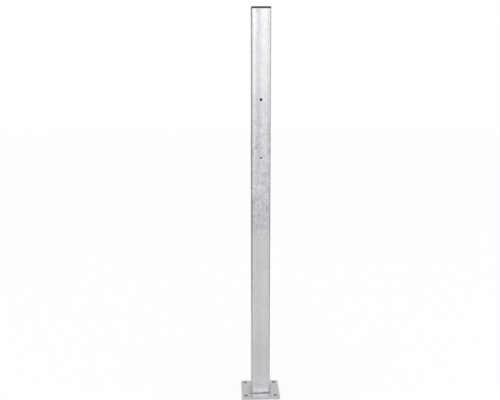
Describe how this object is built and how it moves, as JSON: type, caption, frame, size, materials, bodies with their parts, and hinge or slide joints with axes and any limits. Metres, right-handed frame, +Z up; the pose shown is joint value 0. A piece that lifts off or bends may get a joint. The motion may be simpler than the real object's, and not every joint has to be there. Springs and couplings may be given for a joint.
{
  "type": "fence post",
  "caption": "Square galvanised steel fence post, with a drilled base plate welded to its foot for bolting down and a black plastic cap pushed into its top.",
  "frame": {"origin": "centre of the base plate's underside", "axes": "+Z up along the tube; the tube face with the two fitting holes looks along -Y; +X to the right of that face"},
  "size_m": [0.123, 0.123, 1.23],
  "materials": {
    "zinc": "hot-dip galvanised steel, satin light grey, faintly mottled",
    "cap_plastic": "black moulded plastic, satin"
  },
  "bodies": {
    "root": {"post_tube": "zinc", "base_plate": "zinc", "foot_weld": "zinc", "top_cap": "cap_plastic"}
  },
  "joints": []
}
